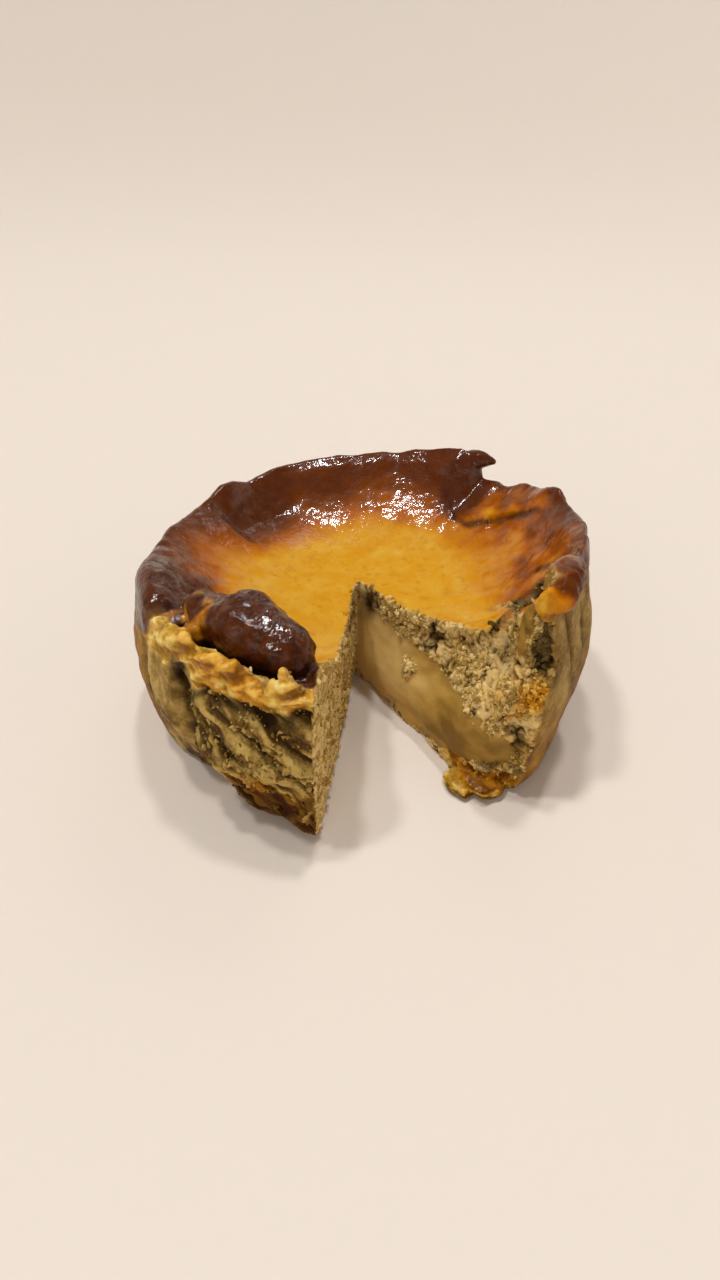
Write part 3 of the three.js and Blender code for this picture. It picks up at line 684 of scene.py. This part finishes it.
def laid_over(tree, under, *layers):
    """Colours laid over a first one, each with its mask and the way it blends."""
    for factor, over, way in layers:
        links = {"Factor": factor, "A": under, "B": over}
        under = add(tree, "ShaderNodeMix", links, data_type="RGBA", blend_type=way)
    return under


def new_material(name):
    material = bpy.data.materials.new(name)
    material.use_nodes = True
    return material, material.node_tree, material.node_tree.nodes["Principled BSDF"]


# What the material of the cake reads from its mesh.
MASKS = (
    "browning", "burnt", "cut", "cream", "side", "ribbon", "toast", "dark", "gloss", "gap", "tone",
)
# Surfaces that go from a dark shade through a middle one to a light one: what their colours are
# called, the size of their blotches in millimetres, the noise's detail and roughness, how much
# flatter than wide the blotches are, how strongly they show, and where the three shades stand.
SURFACES = (
    ("crumb", 1.6, 4, 0.6, 1.0, 0.5, (0.28, 0.52, 0.78)),
    ("cream", 9, 4, 0.5, 1.8, 0.4, (0.25, 0.45, 0.72)),
    ("wall", 5, 8, 0.8, 1.0, 0.8, (0.52, 0.7, 0.92)),
    ("torn", 4.5, 5, 0.6, 1.0, 0.6, (0.36, 0.58, 0.82)),
    ("toast", 4.5, 5, 0.6, 1.0, 0.6, (0.36, 0.58, 0.84)),
)


def baked_custard(look):
    """Baked custard. Its skin is golden and satin in the sunken middle, and goes through amber
    and chestnut to a burnt, sugary, glossy rim. Inside it is pale and crumbly near the skin and
    smooth as cream in the middle. The torn skin is pale and leathery, toasted at its edges."""
    material, tree, shader = new_material("baked_custard")
    mask = {}
    for name in MASKS:
        mask[name] = add(tree, "ShaderNodeAttribute", attribute_name=name).outputs["Fac"]

    # Crumb, soft centre, wall, torn skin and toasted skin.
    surface = {}
    # The tone read from the mesh, which holds painted light and shade on the crumb, the ribbon and the
    # torn layers, moves each surface towards its light or its dark shade.
    pale = add(tree, "ShaderNodeMath", {0: mask["tone"], 1: 0.6}, operation="MULTIPLY")
    for name, size_mm, detail, roughness, upright, strength, places in SURFACES:
        blotches = grain(tree, size_mm, detail, roughness, upright)
        links = {0: blotches, 1: strength, 2: pale}
        shade = add(tree, "ShaderNodeMath", links, operation="MULTIPLY_ADD")
        shades = (getattr(look, name + ending) for ending in ("_dark", "", "_light"))
        stops = list(zip(places, shades))
        surface[name] = add(tree, "ShaderNodeValToRGB", {"Fac": shade}, stops)
    inside = laid_over(tree, surface["crumb"], (mask["cream"], surface["cream"], "MIX"))
    outside = laid_over(tree, surface["wall"], (mask["ribbon"], surface["torn"], "MIX"))

    # Skin, browned from the middle out in blotches of 7 mm, with darker specks of 3 mm.
    blotches = add(tree, "ShaderNodeMath", {0: grain(tree, 7, 5, 0.6), 1: 0.5}, operation="SUBTRACT")
    links = {0: blotches, 1: 0.34, 2: mask["browning"]}
    brown = add(tree, "ShaderNodeMath", links, operation="MULTIPLY_ADD", use_clamp=True)
    skin = add(tree, "ShaderNodeValToRGB", {"Fac": brown}, [
        (0.0, look.straw), (0.12, look.golden), (0.27, look.honey), (0.48, look.amber),
        (0.66, look.chestnut), (0.84, look.brown), (1.0, look.dark_brown),
    ])
    stops = [(0.0, 0.0), (0.55, 0.0), (0.75, 0.25)]
    specks = add(tree, "ShaderNodeValToRGB", {"Fac": grain(tree, 3.0, 2)}, stops)
    charred = add(tree, "ShaderNodeValToRGB", {"Fac": grain(tree, 3.4, 5, 0.65)}, [
        (0.3, look.burnt), (0.55, look.dark_brown), (0.8, look.brown),
    ])
    # The shade colour is multiplied in over the gap and dark masks: painted shade in gaps, recesses,
    # holes and openings, and a darker foot of the torn side and of the flake.
    custard = laid_over(
        tree, skin, (specks, look.amber, "MULTIPLY"), (mask["burnt"], charred, "MIX"),
        (mask["side"], outside, "MIX"), (mask["cut"], inside, "MIX"),
        (mask["toast"], surface["toast"], "MIX"), (mask["gap"], look.gap, "MULTIPLY"),
        (mask["dark"], look.gap, "MULTIPLY"),
    )

    # Satin in the middle, smoother to the rim, dull on wall and soft centre, matt on crumb.
    stops = [(0.0, 0.42), (0.25, 0.34), (1.0, 0.3)]
    satin = add(tree, "ShaderNodeValToRGB", {"Fac": brown}, stops)
    matt = laid_over(tree, grey(0.9), (mask["cream"], grey(0.5), "MIX"))
    finish = laid_over(tree, satin, (mask["side"], grey(0.5), "MIX"), (mask["cut"], matt, "MIX"))

    # A wet coat that breaks up in patches of 5 mm.
    stops = [(0.38, 0.1), (0.55, 1.0)]
    coat = add(tree, "ShaderNodeValToRGB", {"Fac": grain(tree, 5, 3)}, stops)
    links = {0: mask["burnt"], 1: 0.15, 2: coat}
    coat = add(tree, "ShaderNodeMath", links, operation="MULTIPLY_ADD")
    links = {0: coat, 1: mask["gloss"]}
    coat = add(tree, "ShaderNodeMath", links, operation="MULTIPLY", use_clamp=True)

    # Shallow dimples of 2 mm, and pores, drawn at 0.9 mm, coarser than real ones, so that they
    # show. Both are strongest on the wall.
    pores = add(tree, "ShaderNodeMath", {0: grain(tree, 0.9, 2), 1: 0.3}, operation="MULTIPLY")
    fine = add(tree, "ShaderNodeMath", {0: grain(tree, 2.0, 1), 1: pores}, operation="ADD")
    stops = [(0.0, 0.25), (0.2, 0.5), (1.0, 0.6)]
    strength = add(tree, "ShaderNodeValToRGB", {"Fac": mask["browning"]}, stops)
    for name, more in (("burnt", 0.4), ("side", 2.0)):
        links = {0: mask[name], 1: more, 2: strength}
        strength = add(tree, "ShaderNodeMath", links, operation="MULTIPLY_ADD")
    links = {"Height": fine, "Strength": strength, "Distance": look.dimple}
    relief = add(tree, "ShaderNodeBump", links)

    connect(shader, {
        "Base Color": custard, "Roughness": finish, "IOR": 1.38, "Specular IOR Level": 0.1,
        "Coat Weight": coat, "Coat Roughness": 0.08, "Coat IOR": 1.45,
        "Normal": relief, "Coat Normal": relief,
        "Subsurface Weight": 0.1, "Subsurface Radius": (3.0 * MM, 1.5 * MM, 0.6 * MM),
        "Subsurface Scale": 1.0,
    })
    return material


def matt_board(look):
    """Matt painted board, pale and even."""
    material, _, shader = new_material("pale_matt_board")
    connect(shader, {"Base Color": look.floor, "Roughness": 0.95, "Specular IOR Level": 0.05})
    return material


# ---- Scattered crumbs ----


def rough_balls(tree, shapes, detail):
    """A few rough shapes, each a ball pushed in and out by its own noise."""
    balls = add(tree, "GeometryNodeJoinGeometry")
    for n in range(shapes):
        spot = add(tree, "GeometryNodeInputPosition")
        links = {"Vector": spot, "W": 3.7 * n + 1, "Scale": 1.1, "Detail": 3.0}
        uneven = add(tree, "ShaderNodeTexNoise", links, noise_dimensions="4D")
        centred = add(tree, "ShaderNodeMath", {0: uneven, 1: 0.5}, operation="SUBTRACT")
        much = add(tree, "ShaderNodeMath", {0: centred, 1: 3.2}, operation="MULTIPLY")
        push = add(tree, "ShaderNodeVectorMath", {0: spot, "Scale": much}, operation="SCALE")
        ball = add(tree, "GeometryNodeMeshIcoSphere", {"Radius": 1.0, "Subdivisions": detail})
        ball = add(tree, "GeometryNodeSetPosition", {"Geometry": ball, "Offset": push})
        ball = add(tree, "GeometryNodeGeometryToInstance", {"Geometry": ball})
        connect(balls, {"Geometry": ball})
    return balls


def crumb_nodes(shapes, detail):
    """Node group that strews rough crumbs over a surface, most where the mask is highest."""
    tree = bpy.data.node_groups.new("strew_crumbs", "GeometryNodeTree")
    face = tree.interface
    face.new_socket("Surface", in_out="INPUT", socket_type="NodeSocketGeometry")
    sockets = {}
    for name, kind in (
        ("Density", "Float"), ("Smallest", "Float"), ("Largest", "Float"), ("Seed", "Int"),
        ("Sink", "Float"), ("Material", "Material"),
    ):
        socket = face.new_socket(name, in_out="INPUT", socket_type="NodeSocket" + kind)
        sockets[name] = socket.identifier
    face.new_socket("Crumbs", in_out="OUTPUT", socket_type="NodeSocketGeometry")
    given = add(tree, "NodeGroupInput").outputs

    share = add(tree, "GeometryNodeInputNamedAttribute", {"Name": "crumbs"}, data_type="FLOAT")
    density = add(tree, "ShaderNodeMath", {0: share, 1: given["Density"]}, operation="MULTIPLY")
    crumbs = add(tree, "GeometryNodeDistributePointsOnFaces", {
        "Mesh": given["Surface"], "Density": density, "Seed": given["Seed"],
    })

    # What differs from crumb to crumb, each with a seed of its own.
    drawn = {}
    for seed, (name, kind, low, high) in enumerate((
        ("size", "FLOAT", 0.0, 1.0),
        ("stretch", "FLOAT_VECTOR", (0.6, 0.6, 0.45), (1.6, 1.3, 0.9)),
        ("turn", "FLOAT_VECTOR", (0.0, 0.0, 0.0), (6.28, 6.28, 6.28)),
        ("tone", "FLOAT", 0.3, 1.0),
        ("shape", "INT", 0, shapes - 1),
    ), 11):
        links = {"Min": low, "Max": high, "Seed": seed}
        drawn[name] = add(tree, "FunctionNodeRandomValue", links, data_type=kind)
    # Most crumbs are small.
    size = add(tree, "ShaderNodeMath", {0: drawn["size"], 1: 2.2}, operation="POWER")
    size = add(tree, "ShaderNodeMapRange", {
        "Value": size, "To Min": given["Smallest"], "To Max": given["Largest"],
    })
    links = {0: drawn["stretch"], "Scale": size}
    scale = add(tree, "ShaderNodeVectorMath", links, operation="SCALE")
    turn = add(tree, "FunctionNodeEulerToRotation", {"Euler": drawn["turn"]})
    depth = add(tree, "ShaderNodeMath", {0: size, 1: given["Sink"]}, operation="MULTIPLY")
    links = {0: add(tree, "GeometryNodeInputNormal"), "Scale": depth}
    sunk = add(tree, "ShaderNodeVectorMath", links, operation="SCALE")

    for name, value in (("tone", drawn["tone"]), ("gap", 0.0)):
        links = {"Geometry": crumbs, "Name": name, "Value": value}
        crumbs = add(
            tree, "GeometryNodeStoreNamedAttribute", links, data_type="FLOAT", domain="POINT"
        )
    crumbs = add(tree, "GeometryNodeInstanceOnPoints", {
        "Points": crumbs, "Instance": rough_balls(tree, shapes, detail), "Pick Instance": True,
        "Instance Index": drawn["shape"], "Rotation": turn, "Scale": scale,
    })
    crumbs = add(tree, "GeometryNodeTranslateInstances", {
        "Instances": crumbs, "Translation": sunk, "Local Space": False,
    })
    crumbs = add(tree, "GeometryNodeRealizeInstances", {"Geometry": crumbs})
    links = {"Geometry": crumbs, "Material": given["Material"]}
    crumbs = add(tree, "GeometryNodeSetMaterial", links)
    add(tree, "NodeGroupOutput", {"Crumbs": crumbs})
    return tree, sockets


def strew(name, cake, shapes, detail, **values):
    """A piece of crumbs over the cake's mesh."""
    obj = link(cake.data.copy(), name)
    tree, sockets = crumb_nodes(shapes, detail)
    modifier = modify(obj, "NODES", node_group=tree)
    for key, value in values.items():
        modifier[sockets[key]] = value
    applied(obj).shade_smooth()
    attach(obj, "root")


# ---- Add-on ----


def colour(code, description):
    return FloatVectorProperty(
        name=description.split(",")[0].capitalize(), description=description, size=4,
        subtype="COLOR", min=0, max=1, default=linear(code),
    )


class CheesecakeLook(PropertyGroup):
    """Colours of the cake and the stage, and the depth of the skin's dimples."""

    straw: colour("#D8A83C", "Straw skin, in pale patches of the middle")
    golden: colour("#D2951A", "Golden skin, in the middle of the top")
    honey: colour("#C88106", "Honey skin, round the middle")
    amber: colour("#A85800", "Amber skin, on the slope")
    chestnut: colour("#804000", "Chestnut skin, high on the slope")
    brown: colour("#602C06", "Brown skin, on the rim")
    dark_brown: colour("#502409", "Dark brown skin, on the rim's crest")
    burnt: colour("#2A1208", "Burnt skin, on the roll and the lobe")
    crumb_dark: colour("#6E5020", "Dark crumb, inside")
    crumb: colour("#AE8A44", "Crumb, inside")
    crumb_light: colour("#E4C684", "Light crumb, inside")
    cream_dark: colour("#7E5E28", "Dark cream, in the soft centre")
    cream: colour("#AE8840", "Cream, in the soft centre")
    cream_light: colour("#D2AE68", "Light cream, in the soft centre")
    wall_dark: colour("#50391A", "Dark wall skin")
    wall: colour("#84662E", "Wall skin")
    wall_light: colour("#BEA05A", "Light wall skin")
    torn_dark: colour("#9A701C", "Dark torn skin, at the front left")
    torn: colour("#C49A34", "Torn skin, at the front left")
    torn_light: colour("#ECD27E", "Light torn skin, at the front left")
    toast_dark: colour("#7C4208", "Dark toasted edge")
    toast: colour("#BC780E", "Toasted edge")
    toast_light: colour("#E8AC32", "Light toasted edge")
    gap: colour("#3A2A12", "Shade between crumbs")
    floor: colour("#E4D9CD", "Floor")
    dimple: FloatProperty(
        name="Dimple", description="Depth of the skin's dimples", default=0.3 * MM, unit="LENGTH"
    )


class CheesecakeSizes(PropertyGroup):
    """Sizes of the mesh and the crumbs, and the strength of the lights."""

    grid: FloatProperty(
        name="Grid", description="Spacing of the fine mesh", default=0.5 * MM, unit="LENGTH"
    )
    rounding: IntProperty(
        name="Rounding", description="Passes that round the facets of the solid", default=18
    )
    triangles: IntProperty(
        name="Triangles", description="Triangles kept in the cake's mesh", default=195000
    )
    relief: FloatProperty(name="Relief", description="Strength of the relief", default=1.0)
    clump: FloatProperty(
        name="Clump", description="Radius of the largest clump", default=1.5 * MM, unit="LENGTH"
    )
    grains: FloatProperty(
        name="Grains", description="Fine crumbs to a square metre of crumb", default=2.5e6
    )
    key: FloatProperty(name="Key light", description="Strength of each overhead light", default=0.78)


class CHEESECAKE_OT_cake(Operator):
    """Build the cake over its solid"""

    bl_idname = "cheesecake.cake"
    bl_label = "Cake"

    def execute(self, context):
        sizes = context.scene.cheesecake_sizes
        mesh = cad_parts[NODE].data.copy()
        mesh.materials.clear()
        cake = link(mesh, "cheesecake_baked")
        modify(cake, "WELD", merge_threshold=0.01 * MM)
        modify(cake, "REMESH", mode="VOXEL", voxel_size=sizes.grid)
        modify(cake, "SMOOTH", factor=0.5, iterations=sizes.rounding)
        mesh = applied(cake)

        smooth = Places(mesh)
        move(mesh, (smooth.p + smooth.n * (broad_relief(smooth) * sizes.relief)[:, None]) * MM)
        shift, gap, tone = fine_relief(smooth)
        points = vectors(mesh.vertices, "co") / MM
        points += vectors(mesh.vertex_normals, "vector") * (shift * sizes.relief)[:, None]
        points[:, 2] = np.maximum(points[:, 2], 0)
        move(mesh, points * MM)
        for name, values in {**masks(smooth), "gap": gap, "tone": tone}.items():
            layer = mesh.attributes.new(name, "FLOAT", "POINT")
            layer.data.foreach_set("value", np.clip(values, 0, 1).astype(np.float32))

        count = len(mesh.loops) - 2 * len(mesh.polygons)
        modify(cake, "DECIMATE", ratio=min(1, sizes.triangles / count))
        mesh = applied(cake)
        mesh.shade_smooth()
        mesh.materials.append(baked_custard(context.scene.cheesecake_look))
        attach(cake, "root")
        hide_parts(NODE)
        return {"FINISHED"}


class CHEESECAKE_OT_crumbs(Operator):
    """Strew clumps and fine crumbs over the cut and torn faces"""

    bl_idname = "cheesecake.crumbs"
    bl_label = "Crumbs"

    def execute(self, context):
        sizes = context.scene.cheesecake_sizes
        cake = bpy.data.objects["cheesecake_baked"]
        custard = cake.data.materials[0]
        # Number of shapes, their subdivisions, crumbs to a square metre, and the range of radii.
        for seed, (name, shapes, detail, density, smallest, largest) in enumerate((
            ("crumb_lumps", 5, 3, 2.2e5, 0.8 * MM, sizes.clump),
            ("crumb_clumps", 5, 2, 1.1e6, 0.4 * MM, 0.6 * sizes.clump),
            ("crumb_grains", 4, 1, sizes.grains, 0.2 * MM, 0.5 * MM),
        ), SEED):
            strew(name, cake, shapes, detail, Density=density, Smallest=smallest,
                  Largest=largest, Seed=seed, Sink=-0.25, Material=custard)
        return {"FINISHED"}


# Rings of the floor, each a radius and a height in metres: flat, and then a sweep upwards.
FLOOR_RINGS = [(0.4, 0.0), (1.2, 0.0)]
FLOOR_RINGS += [(1.2 + 0.8 * t, 0.28 * t * t) for t in (0.25, 0.5, 0.75, 1.0)]
FLOOR_RINGS += [(6.0, 3.1), (7.6, 6.4)]
FLOOR_SIDES = 64
# The floor lies this far under the cake, so that their faces don't coincide.
FLOOR_DROP = 0.2 * MM

# White light of the room, and overhead lamps: directions and width in degrees.
ROOM_LIGHT = 0.16
OVERHEAD = ((0.08, 0.22, 0.95), (-0.2, 0.08, 0.97), (-0.38, -0.05, 0.92))
OVERHEAD_WIDTH = 5
# Soft panels: place, the point that they face, width and height in metres, and power in watts.
PANELS = {
    "back_panel": ((0.25, 0.7, 1.05), (0, 0, 0.04), (0.5, 0.25), 0.7),
    "front_panel": ((-0.45, -0.95, 0.55), (0, 0, 0.03), (0.6, 0.5), 1.2),
}

# The photograph's view, close and wide, for a picture 1280 pixels high: the focal length and the
# lens's shift to the right and up, in pixels. Then how steeply the camera looks down and its roll,
# in degrees, its distance and the height that it looks at, in metres.
PICTURE_HEIGHT = 1280
FOCAL = 664
LENS_SHIFT = (-0.7, -27.5)
LOOK_DOWN = 34.3
CAMERA_ROLL = 1.82
CAMERA_DISTANCE = 0.2325
LOOK_AT_HEIGHT = 0.030
SENSOR = 36


def build_floor(look):
    circle = [2 * math.pi * i / FLOOR_SIDES for i in range(FLOOR_SIDES)]
    points = [(r * math.cos(a), r * math.sin(a), z) for r, z in FLOOR_RINGS for a in circle]
    faces = [tuple(range(FLOOR_SIDES))]
    for ring in range(len(FLOOR_RINGS) - 1):
        inner, outer = ring * FLOOR_SIDES, (ring + 1) * FLOOR_SIDES
        for i in range(FLOOR_SIDES):
            j = (i + 1) % FLOOR_SIDES
            faces.append((inner + i, outer + i, outer + j, inner + j))
    mesh = bpy.data.meshes.new("floor")
    mesh.from_pydata(points, [], faces)
    mesh.shade_smooth()
    mesh.materials.append(matt_board(look))
    floor = link(mesh, "floor")
    floor.location.z = -FLOOR_DROP


def aimed(obj, towards):
    """Turns a lamp so that its light comes from that direction."""
    obj.rotation_euler = Vector(towards).to_track_quat("Z", "Y").to_euler()


def build_lights(scene, strength):
    """Soft light of the room, lamps overhead, a little to the left, and two soft panels."""
    scene.world = bpy.data.worlds.new("soft_room")
    scene.world.use_nodes = True
    room = scene.world.node_tree.nodes["Background"]
    connect(room, {"Color": linear("#FFFFFF"), "Strength": ROOM_LIGHT})
    for n, towards in enumerate(OVERHEAD, 1):
        data = bpy.data.lights.new(f"overhead_{n}", "SUN")
        data.energy = strength
        data.angle = math.radians(OVERHEAD_WIDTH)
        aimed(link(data, data.name), towards)
    for name, (spot, aim, size, power) in PANELS.items():
        data = bpy.data.lights.new(name, "AREA")
        data.shape = "RECTANGLE"
        data.size, data.size_y = size
        data.energy = power
        lamp = link(data, name)
        lamp.location = spot
        aimed(lamp, Vector(spot) - Vector(aim))


def build_camera():
    data = bpy.data.cameras.new("camera")
    data.sensor_width = SENSOR
    data.lens = FOCAL / PICTURE_HEIGHT * SENSOR
    data.shift_x, data.shift_y = (pixels / PICTURE_HEIGHT for pixels in LENS_SHIFT)
    data.clip_start = 0.01
    camera = link(data, "camera")
    down, roll = math.radians(LOOK_DOWN), math.radians(CAMERA_ROLL)
    back = Vector((0, -math.cos(down), math.sin(down)))
    right, up = Vector((1, 0, 0)), Vector((0, math.sin(down), math.cos(down)))
    across = math.cos(roll) * right + math.sin(roll) * up
    upward = -math.sin(roll) * right + math.cos(roll) * up
    turn = Matrix((across, upward, back)).transposed().to_4x4()
    target = Vector((0, 0, LOOK_AT_HEIGHT))
    camera.matrix_world = Matrix.Translation(target + back * CAMERA_DISTANCE) @ turn
    return camera


class CHEESECAKE_OT_stage(Operator):
    """Build the floor, the lights and the camera"""

    bl_idname = "cheesecake.stage"
    bl_label = "Stage"

    def execute(self, context):
        scene = context.scene
        build_floor(scene.cheesecake_look)
        build_lights(scene, scene.cheesecake_sizes.key)
        scene.camera = build_camera()
        scene.view_settings.view_transform = "Standard"
        return {"FINISHED"}


class CHEESECAKE_PT_panel(Panel):
    """Lists the steps that build the cake"""

    bl_label = "Cheesecake"
    bl_idname = "CHEESECAKE_PT_panel"
    bl_space_type = "VIEW_3D"
    bl_region_type = "UI"
    bl_category = "Cheesecake"

    def draw(self, context):
        for group in (context.scene.cheesecake_sizes, context.scene.cheesecake_look):
            for name in group.bl_rna.properties.keys():
                if name not in ("rna_type", "name"):
                    self.layout.prop(group, name)
        for operator in OPERATORS:
            self.layout.operator(operator.bl_idname)


OPERATORS = (CHEESECAKE_OT_cake, CHEESECAKE_OT_crumbs, CHEESECAKE_OT_stage)
CLASSES = (CheesecakeLook, CheesecakeSizes, *OPERATORS, CHEESECAKE_PT_panel)


def register():
    for item in CLASSES:
        bpy.utils.register_class(item)
    bpy.types.Scene.cheesecake_look = PointerProperty(type=CheesecakeLook)
    bpy.types.Scene.cheesecake_sizes = PointerProperty(type=CheesecakeSizes)


def unregister():
    del bpy.types.Scene.cheesecake_look
    del bpy.types.Scene.cheesecake_sizes
    for item in reversed(CLASSES):
        bpy.utils.unregister_class(item)


def main():
    register()
    bpy.ops.cheesecake.cake()
    bpy.ops.cheesecake.crumbs()
    bpy.ops.cheesecake.stage()


if __name__ == "__main__":
    main()
